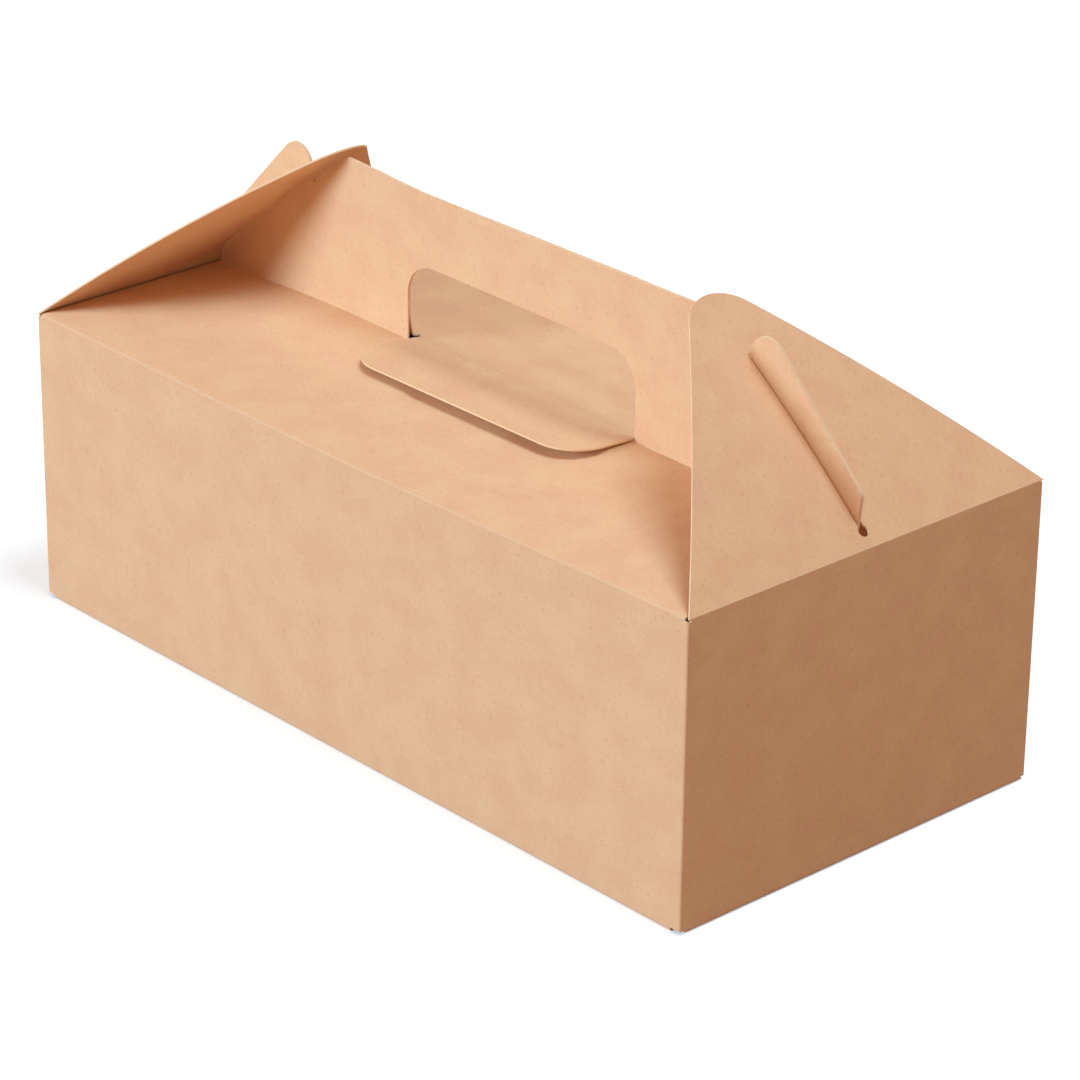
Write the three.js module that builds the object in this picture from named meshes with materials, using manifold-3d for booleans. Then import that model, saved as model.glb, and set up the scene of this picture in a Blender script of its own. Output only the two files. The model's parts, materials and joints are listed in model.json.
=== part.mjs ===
// A carry carton with a raised handle, folded from one sheet of kraft board.
// Millimetres. X runs along the carton, Y from its front to its rear, Z up.
// The origin is the middle of the base.
// The walls, the base flaps, the two lid panels and the two handle panels are one folded sheet.
// A gable flap at each end leans on the handle, and the wings of the handle come up through its slit.

import * as THREE from 'three';
import { mergeVertices } from 'three/addons/utils/BufferGeometryUtils.js';
import Module from 'manifold-3d';

// Carton
const cartonLength = 300;
const cartonWidth = 146;
const cartonHeight = 100;
const board = 0.6;
const foldRadius = 0.6;
const foldSteps = 4;

// Clearances
const plyGap = 0.3;
const creaseRelief = 0.7;
const hingeGap = 0.4;
const creaseLip = 0.1;
const glueLap = 0.05;
const slitClearance = 0.3;
const noseClearance = 0.7;
const tongueClearance = 0.4;

// Lids
const lidEndGap = 1.8;

// Handle panels, measured up from the crease and inwards from the carton's ends
const ridgeRise = 52.5;
const ridgeInset = 69;
const ridgeCorner = 1.5;
const wingInset = 4.2;
const wingShoulder = 14.7;
const wingShoulderRadius = 3;
const noseInset = 50.7;
const noseRadius = 7;
const notchDrop = 2.7;
const chordLift = 3.2;

// Hand hole and the tongue that is cut from it
const holeWidth = 104;
const holeRise = 28;
const holeCorner = 9;
const tongueLength = 27;
const tongueCorner = 10;
const tongueRoot = 10;
const tongueSlope = THREE.MathUtils.degToRad(5.2);

// Gable flaps
const gableLength = 89.5;
const gableTipRadius = 14.5;
const gableBow = 2.2;
const bowSteps = 14;
const reliefHole = 3;
const reliefOffset = 0.8;

// Base flaps
const baseCornerGap = 4;
const wallLap = 6;
const endFlapDepth = 66;
const endFlapStep = 3.3;
const endFlapFront = 68;
const endFlapRear = 67;
const endFlapCornerGap = 2;
const endFlapFrontTaper = 34;
const endFlapRearTaper = 25;
const rearFlapReach = 83;
const rearFlapStep = 5;
const rearFlapTaper = 9;
const notchHalf = 76;
const notchDepth = 20;
const frontFlapBody = 45;
const frontFlapShoulder = 61;
const lockHalf = 72;
const lockRampStart = 61;
const lockRampEnd = 79;
const lockReach = 99;
const lockCorner = 12;
const flapCorner = 5;

// Glued seam
const seamWidth = 15;
const seamTaper = 6;
const seamEndGap = 5;

const halfLength = cartonLength / 2;
const halfWidth = cartonWidth / 2;
const plyMiddle = (plyGap + board) / 2;
const handleThickness = 2 * board + plyGap;
const lidHalf = halfLength - lidEndGap;
const wallTop = cartonHeight - creaseRelief;
const wallFoot = board + creaseRelief;
const outside = cartonLength;

// A gable flap turns about the middle of the board, at the top corner of its end wall.
const hingeInset = board / 2;
const hingeDrop = board / 2;

// The flap's chord runs from its hinge to a point just over the ridge's corner.
const gableAngle = Math.atan2(ridgeRise + chordLift, ridgeInset);

const wasm = await Module();
wasm.setup();

// Turn a closed three.js geometry into a solid that can be joined and cut
function solidOf(geometry) {
  geometry.deleteAttribute('normal');
  geometry.deleteAttribute('uv');
  const merged = mergeVertices(geometry, 1e-5);
  const mesh = new wasm.Mesh({
    numProp: 3,
    vertProperties: new Float32Array(merged.attributes.position.array),
    triVerts: new Uint32Array(merged.index.array),
  });
  return new wasm.Manifold(mesh);
}

// Turn a solid back into a geometry
function geometryOf(solid) {
  const mesh = solid.getMesh();
  const geometry = new THREE.BufferGeometry();
  geometry.setAttribute('position', new THREE.BufferAttribute(new Float32Array(mesh.vertProperties), 3));
  geometry.setIndex(new THREE.BufferAttribute(new Uint32Array(mesh.triVerts), 1));
  geometry.computeVertexNormals();
  return geometry;
}

// Extrude a shape, and lay the shape's two axes and its depth along the given directions
function prism(shape, depth, across, up) {
  const geometry = new THREE.ExtrudeGeometry(shape, { depth, bevelEnabled: false, curveSegments: 10 });
  geometry.translate(0, 0, -depth / 2);
  const along = across.clone().cross(up);
  geometry.applyMatrix4(new THREE.Matrix4().makeBasis(across, up, along));
  return solidOf(geometry);
}

const alongX = new THREE.Vector3(1, 0, 0);
const alongY = new THREE.Vector3(0, 1, 0);
const alongZ = new THREE.Vector3(0, 0, 1);
const seenFromEnd = (shape, depth) => prism(shape, depth, alongY, alongZ);
const seenFromFront = (shape, depth) => prism(shape, depth, alongX, alongZ);
const seenFromAbove = (shape, depth) => prism(shape, depth, alongX, alongY);

// Trace straight edges between corners [x, y, radius], each rounded by its own radius
function roundedPoints(corners, closed) {
  const points = [];
  corners.forEach(([x, y, radius = 0], i) => {
    const at = new THREE.Vector2(x, y);
    const isEnd = !closed && (i === 0 || i === corners.length - 1);
    if (isEnd || radius === 0) {
      points.push(at);
      return;
    }
    const before = new THREE.Vector2(...corners.at(i - 1));
    const after = new THREE.Vector2(...corners[(i + 1) % corners.length]);
    const into = at.clone().sub(before).normalize();
    const onward = after.clone().sub(at).normalize();
    const turn = Math.atan2(into.cross(onward), into.dot(onward));
    const start = at.clone().addScaledVector(into, -radius * Math.tan(Math.abs(turn) / 2));
    const sideways = new THREE.Vector2(-into.y, into.x).multiplyScalar(Math.sign(turn) * radius);
    const centre = start.clone().add(sideways);
    const steps = Math.max(foldSteps, Math.ceil(Math.abs(turn) / 0.2));
    for (let k = 0; k <= steps; k += 1) {
      points.push(start.clone().rotateAround(centre, turn * k / steps));
    }
  });
  return points;
}

const roundedShape = (corners) => new THREE.Shape(roundedPoints(corners, true));

// Section of a folded sheet: its middle line, with the board's thickness on both sides
function sheetSection(corners) {
  const middle = roundedPoints(corners.map(([x, y]) => [x, y, foldRadius]), false);
  const left = [];
  const right = [];
  middle.forEach((point, i) => {
    const before = middle[Math.max(i - 1, 0)];
    const after = middle[Math.min(i + 1, middle.length - 1)];
    const into = point.clone().sub(before).normalize();
    const onward = after.clone().sub(point).normalize();
    const direction = into.add(onward).normalize();
    const run = i === 0 ? onward : point.clone().sub(before).normalize();
    const half = board / 2 / direction.dot(run);
    const normal = new THREE.Vector2(-direction.y, direction.x);
    left.push(point.clone().addScaledVector(normal, half));
    right.push(point.clone().addScaledVector(normal, -half));
  });
  return new THREE.Shape([...left, ...right.reverse()]);
}

// Mirror an outline that is given for one side only, from its first point to its last
const mirrored = (corners) => [...corners, ...corners.map(([x, y, r]) => [-x, y, r]).reverse()];

// The walls are a rectangular tube with a small radius at each upright fold.
function wallTube() {
  const outerRadius = foldRadius + board / 2;
  const ring = (inset, radius) => mirrored([
    [halfLength - inset, -halfWidth + inset, radius],
    [halfLength - inset, halfWidth - inset, radius],
  ]);
  const shape = roundedShape(ring(0, outerRadius));
  shape.holes.push(new THREE.Path(roundedPoints(ring(board, outerRadius - board), true)));
  const height = wallTop - wallFoot;
  return seenFromAbove(shape, height).translate([0, 0, wallFoot + height / 2]);
}

// The seam tab folds in from the left end wall and is glued to the inside of the rear wall.
function seamTab() {
  const low = seamEndGap;
  const high = wallTop - seamEndGap;
  const tip = -halfLength + seamWidth;
  const root = -halfLength + board / 2;
  const shape = new THREE.Shape();
  shape.moveTo(root, low);
  shape.lineTo(tip, low + seamTaper);
  shape.lineTo(tip, high - seamTaper);
  shape.lineTo(root, high);
  const y = halfWidth - 1.5 * board + glueLap;
  return seenFromFront(shape, board).translate([0, y, 0]);
}

// One lid and its handle panel are a sheet that runs in from the wall and turns up at the ridge.
function lidAndHandle(side) {
  const wall = side * (halfWidth - board / 2);
  const ply = side * plyMiddle;
  const level = cartonHeight - board / 2;
  const section = sheetSection([
    [wall, cartonHeight - wallLap],
    [wall, level],
    [ply, level],
    [ply, cartonHeight + ridgeRise],
  ]);
  return seenFromEnd(section, 2 * lidHalf);
}

// The wing's outer edge climbs at 45 degrees from its shoulder to the nose's sharp corner.
const nosePeak = wingShoulder + noseInset - wingInset;

// Height of the flap's chord above the crease, at a distance in from the carton's end
const chordRise = (inset) => inset * Math.tan(gableAngle);

// Outline of lid and handle, seen from the front: lid, wing, nose, notch and ridge
function handleOutline() {
  const z = cartonHeight;
  return roundedShape(mirrored([
    [halfLength, z - 2 * wallLap],
    [halfLength, z + creaseLip],
    [halfLength - wingInset, z + creaseLip],
    [halfLength - wingInset, z + wingShoulder, wingShoulderRadius],
    [halfLength - noseInset, z + nosePeak, noseRadius],
    [halfLength - noseInset, z + chordRise(noseInset) - notchDrop, ridgeCorner],
    [halfLength - ridgeInset, z + ridgeRise, ridgeCorner],
  ]));
}

// The hand hole goes through both handle panels, down to their creases.
function handHole() {
  const half = holeWidth / 2;
  const shape = roundedShape(mirrored([
    [half, cartonHeight + creaseLip],
    [half, cartonHeight + holeRise, holeCorner],
  ]));
  return seenFromFront(shape, 4 * handleThickness);
}

// The tongue is cut from the rear panel's hole. It stays flat with the rear lid,
// comes forward through the front panel's hole and lies over the front lid.
function tongue() {
  const level = cartonHeight - board / 2;
  const fullRun = tongueRoot + tongueLength;
  const section = sheetSection([
    [tongueRoot, level],
    [-tongueLength, level + fullRun * Math.tan(tongueSlope)],
  ]);
  const half = holeWidth / 2 - tongueClearance;
  const outline = roundedShape(mirrored([
    [half, 2 * tongueRoot],
    [half, -tongueLength + board / 2, tongueCorner],
  ]));
  return seenFromEnd(section, holeWidth).intersect(seenFromAbove(outline, outside));
}

// Base flaps lie in layers: front flap lowest, then the end flaps, then the rear flap.
const layer = (count) => board / 2 + count * (board + plyGap);
const flapHalf = halfLength - baseCornerGap;

// The front flap closes last: its lock goes up through the rear flap's notch and lies on it.
function frontBaseFlap() {
  const wall = -halfWidth + board / 2;
  const section = sheetSection([
    [wall, wallLap],
    [wall, layer(0)],
    [-halfWidth + lockRampStart, layer(0)],
    [-halfWidth + lockRampEnd, layer(3)],
    [-halfWidth + lockReach, layer(3)],
  ]);
  const outline = roundedShape(mirrored([
    [flapHalf, -outside],
    [flapHalf, -halfWidth + frontFlapBody, flapCorner],
    [lockHalf, -halfWidth + frontFlapShoulder, flapCorner],
    [lockHalf, -halfWidth + lockReach - board, lockCorner],
  ]));
  return seenFromEnd(section, cartonLength).intersect(seenFromAbove(outline, outside));
}

// The rear flap is folded first. The notch in its free edge takes the lock.
function rearBaseFlap() {
  const wall = halfWidth - board / 2;
  const section = sheetSection([
    [wall, wallLap],
    [wall, layer(0)],
    [halfWidth - rearFlapStep, layer(2)],
    [halfWidth - rearFlapReach, layer(2)],
  ]);
  const edge = halfWidth - rearFlapReach + board;
  const outline = roundedShape(mirrored([
    [flapHalf, outside],
    [flapHalf - rearFlapTaper, edge, flapCorner],
    [notchHalf, edge, flapCorner],
    [notchHalf, edge + notchDepth, flapCorner],
  ]));
  return seenFromEnd(section, cartonLength).intersect(seenFromAbove(outline, outside));
}

// The end flaps are folded second and lie between the other two.
function endBaseFlap(side) {
  const wall = side * (halfLength - board / 2);
  const section = sheetSection([
    [wall, wallLap],
    [wall, layer(0)],
    [side * (halfLength - endFlapStep), layer(1)],
    [side * (halfLength - endFlapDepth), layer(1)],
  ]);
  const edge = side * (halfLength - endFlapDepth + board);
  const turn = side * (halfLength - endFlapStep);
  const root = side * (halfLength + board);
  const outline = roundedShape([
    [root, -halfWidth + endFlapCornerGap],
    [turn, -endFlapFront],
    [edge, -endFlapFront + endFlapFrontTaper, flapCorner],
    [edge, endFlapRear - endFlapRearTaper, flapCorner],
    [turn, endFlapRear],
    [root, halfWidth - endFlapCornerGap],
  ]);
  return seenFromFront(section, cartonWidth).intersect(seenFromAbove(outline, outside));
}

function cartonSolid() {
  const handles = lidAndHandle(-1).add(lidAndHandle(1));
  const trimmed = handles.intersect(seenFromFront(handleOutline(), outside)).subtract(handHole());
  return wallTube()
    .add(seamTab())
    .add(trimmed)
    .add(tongue())
    .add(frontBaseFlap())
    .add(rearBaseFlap())
    .add(endBaseFlap(-1))
    .add(endBaseFlap(1));
}

// Gable flap, laid out with its hinge at the origin: X up the flap, Y across it, Z out of the carton

// The board springs outwards between its hinge and its tip, so its section is a shallow arc.
function gableSection() {
  const radius = (gableLength ** 2 / 4 + gableBow ** 2) / (2 * gableBow);
  const centre = new THREE.Vector2(gableLength / 2, gableBow - radius);
  const reach = Math.asin(gableLength / 2 / radius);
  const arc = (r) => Array.from({ length: bowSteps + 1 }, (_, k) => {
    const angle = Math.PI / 2 + reach * (1 - 2 * k / bowSteps);
    return new THREE.Vector2(centre.x + r * Math.cos(angle), centre.y + r * Math.sin(angle));
  });
  return new THREE.Shape([...arc(radius - board / 2), ...arc(radius + board / 2).reverse()]);
}

// Straight sides run from the wall's corners and touch the round tip.
function gableOutline() {
  const tipCentre = gableLength - gableTipRadius;
  const toTip = Math.hypot(tipCentre, halfWidth);
  const sideAngle = Math.asin(gableTipRadius / toTip) - Math.atan2(halfWidth, tipCentre);
  const touch = sideAngle + Math.PI / 2;
  const halfBase = halfWidth + hingeGap * Math.tan(sideAngle);
  const shape = new THREE.Shape();
  shape.absarc(tipCentre, 0, gableTipRadius, -touch, touch, false);
  shape.lineTo(hingeGap, halfBase);
  shape.lineTo(hingeGap, -halfBase);
  return shape;
}

// The slit lets the wings through. It starts in a round relief hole and ends past the noses.
function gableSlit() {
  const start = (wingInset - hingeInset) / Math.cos(gableAngle) + reliefOffset;
  const noseX = noseInset - noseRadius - hingeInset;
  const noseZ = nosePeak - noseRadius * Math.tan(3 * Math.PI / 8) + hingeDrop;
  const farthest = Math.hypot(noseX, noseZ) + noseRadius;
  const end = farthest + noseClearance;
  const half = handleThickness / 2 + slitClearance;
  const slit = new THREE.Shape();
  slit.moveTo(start, -half);
  slit.lineTo(end - half, -half);
  slit.absarc(end - half, 0, half, -Math.PI / 2, Math.PI / 2, false);
  slit.lineTo(start, half);
  const hole = new THREE.Shape().absarc(start, 0, reliefHole / 2, 0, 2 * Math.PI, false);
  return seenFromAbove(slit, outside).add(seenFromAbove(hole, outside));
}

function gableSolid() {
  const band = prism(gableSection(), 2 * cartonWidth, alongX, alongZ);
  return band.intersect(seenFromAbove(gableOutline(), outside)).subtract(gableSlit());
}

const kraft = (color) => new THREE.MeshStandardMaterial({ color, roughness: 0.86, metalness: 0 });

const group = new THREE.Group();

const carton = new THREE.Mesh(geometryOf(cartonSolid()), kraft(0xd9b48c));
carton.name = 'folded_carton';
group.add(carton);

// Each flap turns about the top edge of its end wall. The right one is the left one turned round.
const gableGeometry = geometryOf(gableSolid());
const ends = [
  { name: 'left_gable_flap', x: hingeInset - halfLength, turn: 0 },
  { name: 'right_gable_flap', x: halfLength - hingeInset, turn: Math.PI },
];
for (const { name, x, turn } of ends) {
  const hinge = new THREE.Group();
  hinge.position.set(x, 0, cartonHeight - hingeDrop);
  hinge.rotation.z = turn;
  const flap = new THREE.Mesh(gableGeometry, kraft(0xcfa67b));
  flap.name = name;
  flap.rotation.y = -gableAngle;
  hinge.add(flap);
  group.add(hinge);
}

export default group;
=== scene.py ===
# %% [markdown]
# # A kraft board carry carton, folded up from its flat sheet
# The carton is one cut and creased sheet of kraft board. A real one starts as a flat outline, and
# every panel gets its place by folding. The meshes here are made the same way: draw the flat
# outline, fill it with triangles, then bend it along its creases. The grain of the board is drawn
# on the flat sheet, so it runs across each fold as it does on the real one.
#
# The CAD frame comes first. It holds the sizes, the bodies and the hinges, and nothing in it moves.

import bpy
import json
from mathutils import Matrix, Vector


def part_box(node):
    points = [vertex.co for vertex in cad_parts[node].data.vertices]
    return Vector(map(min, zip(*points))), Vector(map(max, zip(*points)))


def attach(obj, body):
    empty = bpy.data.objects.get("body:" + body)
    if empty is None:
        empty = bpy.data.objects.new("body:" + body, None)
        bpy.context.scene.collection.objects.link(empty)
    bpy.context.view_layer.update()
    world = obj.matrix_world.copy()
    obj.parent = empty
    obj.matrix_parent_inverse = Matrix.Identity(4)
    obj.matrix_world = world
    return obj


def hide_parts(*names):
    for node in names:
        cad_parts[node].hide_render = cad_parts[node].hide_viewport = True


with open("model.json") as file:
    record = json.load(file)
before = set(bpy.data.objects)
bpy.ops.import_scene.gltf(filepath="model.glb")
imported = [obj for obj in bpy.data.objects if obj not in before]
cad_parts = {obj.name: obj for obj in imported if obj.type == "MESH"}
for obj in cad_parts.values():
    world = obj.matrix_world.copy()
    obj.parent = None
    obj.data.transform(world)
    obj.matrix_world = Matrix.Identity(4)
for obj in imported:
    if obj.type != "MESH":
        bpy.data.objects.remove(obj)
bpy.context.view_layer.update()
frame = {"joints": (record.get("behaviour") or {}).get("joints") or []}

# %% Libraries
import json
import math

import bmesh
import bpy
import numpy as np
from mathutils import Matrix, Vector
from mathutils.geometry import delaunay_2d_cdt

print("Blender", bpy.app.version_string)

# %% [markdown]
# ## Sizes
# The overall sizes come from the frame. What the frame can't say, such as how thick the board is,
# is a named value in millimetres. The middle of the board is what gets folded, and the thickness
# goes on both sides of it afterwards, so most lengths below are measured on that middle surface.
#
# The handle is two panels back to back. At each end it has a wing, whose hooked tip, the nose,
# holds a gable flap. The notch is the cut under the nose. The tongue is what the hand hole leaves:
# a tab that lies over the front lid.

# %% Carton and board
mm = 0.001
board = 0.6 * mm
fold_radius = 0.6 * mm
lid_fold_radius = 1.0 * mm
ply_middle = 0.33 * mm
carton_low, carton_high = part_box("folded_carton")
hinges = {joint["name"]: Vector(joint["pos_m"]) for joint in frame["joints"]}
half_length = (carton_high[0] - carton_low[0]) / 2
half_width = (carton_high[1] - carton_low[1]) / 2
ridge_height = carton_high[2]
hinge_x = hinges["right_gable_hinge"].x
lid_level = hinges["right_gable_hinge"].z
base_level = board / 2
middle_x = half_length - board / 2
middle_y = half_width - board / 2
print("carton", 2 * half_length, "x", 2 * half_width, "lid level", round(lid_level, 5))

# %% Handle
lid_end_gap = 1.8 * mm
ridge_inset = 69 * mm
ridge_corner = 1.5 * mm
right_wing_inset = 4.6 * mm
right_wing_lean = 1.7 * mm
left_wing_inset = 4.0 * mm
wing_shoulder_radius = 3 * mm
nose_inset = 50.7 * mm
nose_peak = 60.7 * mm
nose_radius = 7 * mm
notch_drop = 2.7 * mm
chord_lift = 3.2 * mm
crease_top = lid_level + board / 2
ridge_rise = ridge_height - crease_top
gable_angle = math.atan2(ridge_rise + chord_lift, ridge_inset)
print("ridge", round(ridge_rise / mm, 1), "mm over the lids, gable flaps at",
      round(math.degrees(gable_angle), 1), "degrees")

# %% Hand hole and tongue
hole_half = 52 * mm
hole_rise = 28 * mm
hole_corner = 12 * mm
tongue_half = 51.6 * mm
tongue_foot = 50.1 * mm
tongue_foot_run = 6 * mm
tongue_length = 27 * mm
tongue_corner = 12.5 * mm
tongue_root = 10 * mm
tongue_slope = math.radians(5.2)
kerf_depth = 2.6 * mm
print("hand hole", round(2 * hole_half / mm), "x", round(hole_rise / mm), "mm")

# %% [markdown]
# ## Folding a line
# In section, folded board is a line of straight runs with a small arc at each crease. One function
# finds the point at a given length along such a line. Bending with a modifier would work too, but a
# line like this gives every fold its own place and radius, and it costs nothing to follow. The fold
# from wall to lid is looser than the others.

# %% Point on a folded line
fold_radii = {(0, lid_level): lid_fold_radius}


def run_lengths(corners):
    """Length from the first corner to each corner, measured on the sharp line."""
    total = [0.0]
    for before, after in zip(corners, corners[1:]):
        total.append(total[-1] + (Vector(after) - Vector(before)).length)
    return total


def turn_between(into, onward):
    return math.atan2(into.x * onward.y - into.y * onward.x, into.dot(onward))


def arc_centre(start, into, turn, radius):
    """Centre of the arc that leaves start in direction into and bends the way of turn."""
    return start + Vector((-into.y, into.x)) * math.copysign(radius, turn)


def folded_point(corners, total, s):
    """The point at length s, with each corner rounded by its fold radius."""
    for i in range(1, len(corners) - 1):
        at = Vector(corners[i])
        into = (at - Vector(corners[i - 1])).normalized()
        onward = (Vector(corners[i + 1]) - at).normalized()
        turn = turn_between(into, onward)
        radius = fold_radii.get(corners[i], fold_radius)
        run = radius * math.tan(abs(turn) / 2)
        if abs(s - total[i]) < run:
            share = (s - total[i] + run) / (2 * run)
            start = at - into * run
            centre = arc_centre(start, into, turn, radius)
            return centre + Matrix.Rotation(turn * share, 2) @ (start - centre)
    i = max(k for k in range(len(total) - 1) if k == 0 or s >= total[k])
    at = Vector(corners[i])
    onward = (Vector(corners[i + 1]) - at).normalized()
    return at + onward * (s - total[i])


print("folds of", round(fold_radius / mm, 2), "mm, and at the lids", round(lid_fold_radius / mm, 2))

# %% [markdown]
# ## The flat sheet
# The sheet is laid out with u along the walls and v up them: seam tab, left end, front, right end
# and rear. Each wall carries what folds from it above and below. A section line for each wall says
# where its flaps go, as depth in from the wall and height above the floor. The base flaps lie in
# layers. The front flap is the lowest, with the end flaps and then the rear flap on it, and its lock
# goes up through the rear flap's notch.

# %% Walls in plan
seam_tab, left_end, front, right_end, rear = range(5)
seam_width = 15 * mm
seam_glue = 0.05 * mm
tab_y = middle_y - board - seam_glue
girth = [
    (-middle_x + seam_width, tab_y),
    (-middle_x, tab_y),
    (-middle_x, -middle_y),
    (middle_x, -middle_y),
    (middle_x, middle_y),
    (-half_length, middle_y),
]
girth_total = run_lengths(girth)
wall_folds = girth_total[left_end:rear + 1]
sheet_end = girth_total[-1]
panel_ends = list(zip(girth_total, girth_total[1:]))
panel_middle = [(a + b) / 2 for a, b in panel_ends]
inward = [Vector((1, 0)), Vector((1, 0)), Vector((0, 1)), Vector((-1, 0)), Vector((0, -1))]
print("wall folds at", [round(u / mm, 1) for u in wall_folds], "mm along the sheet")

# %% Base flaps in section
layer_step = board + 0.3 * mm
lock_ramp = (60.7 * mm, 78.7 * mm)
lock_reach = 98.7 * mm
rear_reach = 82.7 * mm
rear_step = 4.7 * mm
end_reach = 65.7 * mm
end_step = 3.0 * mm


def layer(count):
    return base_level + count * layer_step


front_flap = [(lock_reach, layer(3)), (lock_ramp[1], layer(3)), (lock_ramp[0], layer(0))]
rear_flap = [(rear_reach, layer(2)), (rear_step, layer(2))]
end_flap = [(end_reach, layer(1)), (end_step, layer(1))]
print("base layers at", [round(layer(k) / mm, 1) for k in range(4)], "mm")

# %% Walls in section
lid_depth = middle_y - ply_middle
tongue_depth = middle_y - tongue_root
tongue_run = tongue_root + tongue_length
handle_top = [(lid_depth, lid_level), (lid_depth, ridge_height + fold_radius)]
tongue_line = [
    (tongue_depth, lid_level),
    (tongue_depth + tongue_run, lid_level + tongue_run * math.tan(tongue_slope)),
]


def section_of(base_flap, *upper):
    """A section line from a base flap's free edge, up the wall and on, and where its base fold is."""
    corners = [*base_flap, (0, base_level), (0, lid_level), *upper]
    total = run_lengths(corners)
    return corners, total, total[len(base_flap)]


end_section = section_of(end_flap)
front_section = section_of(front_flap, *handle_top)
rear_section = section_of(rear_flap, *handle_top)
tongue_section = section_of(rear_flap, *tongue_line)
sections = [end_section, end_section, front_section, end_section, rear_section]
v_lid = lid_level - base_level
v_crease = v_lid + lid_depth
print("flat sheet", round(sheet_end / mm), "mm along, ridge at",
      round((v_crease + ridge_rise) / mm), "mm")

# %% [markdown]
# ## Outlines
# A cutting die leaves straight edges and small radii. An outline is a list of corners, each with
# its own radius, and one function turns it into points. Left and right are alike, so half of most
# outlines is written and the rest is its mirror image. Only the two wings differ, by a fraction of
# a millimetre, because the handle stands a little askew.

# %% Rounded outlines
arc_turn = 0.25
fewest_arc_steps = 3


def rounded(corners):
    """Points along corners (x, y, radius), each rounded by an arc."""
    points = []
    for i, (x, y, *radius) in enumerate(corners):
        at = Vector((x, y))
        if not radius:
            points.append(at)
            continue
        into = (at - Vector(corners[i - 1][:2])).normalized()
        onward = (Vector(corners[(i + 1) % len(corners)][:2]) - at).normalized()
        turn = turn_between(into, onward)
        start = at - into * radius[0] * math.tan(abs(turn) / 2)
        centre = arc_centre(start, into, turn, radius[0])
        steps = max(fewest_arc_steps, math.ceil(abs(turn) / arc_turn))
        for k in range(steps + 1):
            points.append(centre + Matrix.Rotation(turn * k / steps, 2) @ (start - centre))
    return points


def flipped(corners):
    """The same chain, seen from the other side of the board and walked the same way."""
    return [(-x, y, *radius) for x, y, *radius in reversed(corners)]


def mirrored(corners):
    """Corners of one side, then the same on the other side in the opposite order."""
    return [*corners, *flipped(corners)]


def shifted(corners, along):
    return [(x + along, y, *radius) for x, y, *radius in corners]


square = mirrored([(1, 0, 0.2), (1, 2, 0.2)])
print("a square with round corners has", len(rounded(square)), "points")

# %% Lids and handles
lid_half = half_length - lid_end_gap
v_ply = v_crease + board / 2
crease_lip = 0.1 * mm
notch_floor = 0.8 * mm
notch_level = v_lid - notch_floor
chord_at_nose = nose_inset * math.tan(gable_angle)


def half_handle(wing_inset, foot_lean=0.0):
    """From the lid's end up the wing, over its nose, down the notch and up to the ridge."""
    return [
        (lid_half, notch_level),
        (lid_half, v_ply + crease_lip),
        (half_length - wing_inset - foot_lean, v_ply + crease_lip),
        (half_length - wing_inset, v_ply + nose_peak - nose_inset + wing_inset,
         wing_shoulder_radius),
        (half_length - nose_inset, v_ply + nose_peak, nose_radius),
        (half_length - nose_inset, v_ply + chord_at_nose - notch_drop, ridge_corner),
        (half_length - ridge_inset, v_ply + ridge_rise, ridge_corner),
    ]


front_chain = [
    *half_handle(right_wing_inset, right_wing_lean),
    *flipped(half_handle(left_wing_inset)),
]
rear_chain = flipped(front_chain)
print("handle outline:", len(front_chain), "corners on each panel")

# %% Hand hole and tongue outlines
front_hole = mirrored([
    (hole_half, v_ply + crease_lip),
    (hole_half, v_ply + hole_rise, hole_corner),
])
kerf_floor = v_crease - kerf_depth
rear_kerf = [
    (hole_half, kerf_floor),
    (hole_half, v_ply + hole_rise, hole_corner),
    (-hole_half, v_ply + hole_rise, hole_corner),
    (-hole_half, kerf_floor),
    (-tongue_half, kerf_floor),
    (-tongue_half, v_crease + tongue_length, tongue_corner),
    (tongue_half, v_crease + tongue_length, tongue_corner),
    (tongue_half, v_crease + tongue_foot_run),
    (tongue_foot, v_crease + board),
    (tongue_foot, kerf_floor),
]
between = (hole_half + tongue_half) / 2
tongue_zone = rounded(mirrored([
    (between, kerf_floor - board),
    (between, v_crease + (tongue_length + hole_rise) / 2, (hole_corner + tongue_corner) / 2),
]))
print("the tongue is cut free by a kerf of", len(rear_kerf), "corners")

# %% Base flap outlines
wall_foot = 1.3 * mm
foot = wall_foot - base_level
flap_half = half_length - 4 * mm
flap_corner = 5 * mm
front_body = 44.7 * mm
lock_half = 72 * mm
lock_corner = 12 * mm
rear_taper = 9 * mm
rear_notch_half = 76 * mm
rear_notch_depth = 20 * mm
front_tip = front_section[2] - board
rear_tip = rear_section[2] - board
front_base = mirrored([
    (-flap_half, foot),
    (-flap_half, -front_body, flap_corner),
    (-lock_half, -lock_ramp[0], flap_corner),
    (-lock_half, -front_tip, lock_corner),
])
rear_base = mirrored([
    (-flap_half, foot),
    (-flap_half + rear_taper, -rear_tip, flap_corner),
    (-rear_notch_half, -rear_tip, flap_corner),
    (-rear_notch_half, -rear_tip + rear_notch_depth, flap_corner),
])
print("base flaps reach", round(front_tip / mm, 1), "and", round(rear_tip / mm, 1), "mm")

# %% End flap outlines
end_half = 71 * mm
front_turn, front_end = 68 * mm, 34 * mm
rear_turn, rear_end = 67 * mm, 42 * mm
end_tip = end_section[2] - board
end_turn = end_tip - end_reach + end_step + board
right_base = [
    (-end_half, foot),
    (-end_half, 0),
    (-front_turn, -end_turn),
    (-front_end, -end_tip, flap_corner),
    (rear_end, -end_tip, flap_corner),
    (rear_turn, -end_turn),
    (end_half, 0),
    (end_half, foot),
]
left_base = flipped(right_base)
print("end flaps reach", round(end_tip / mm, 1), "mm")

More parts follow.
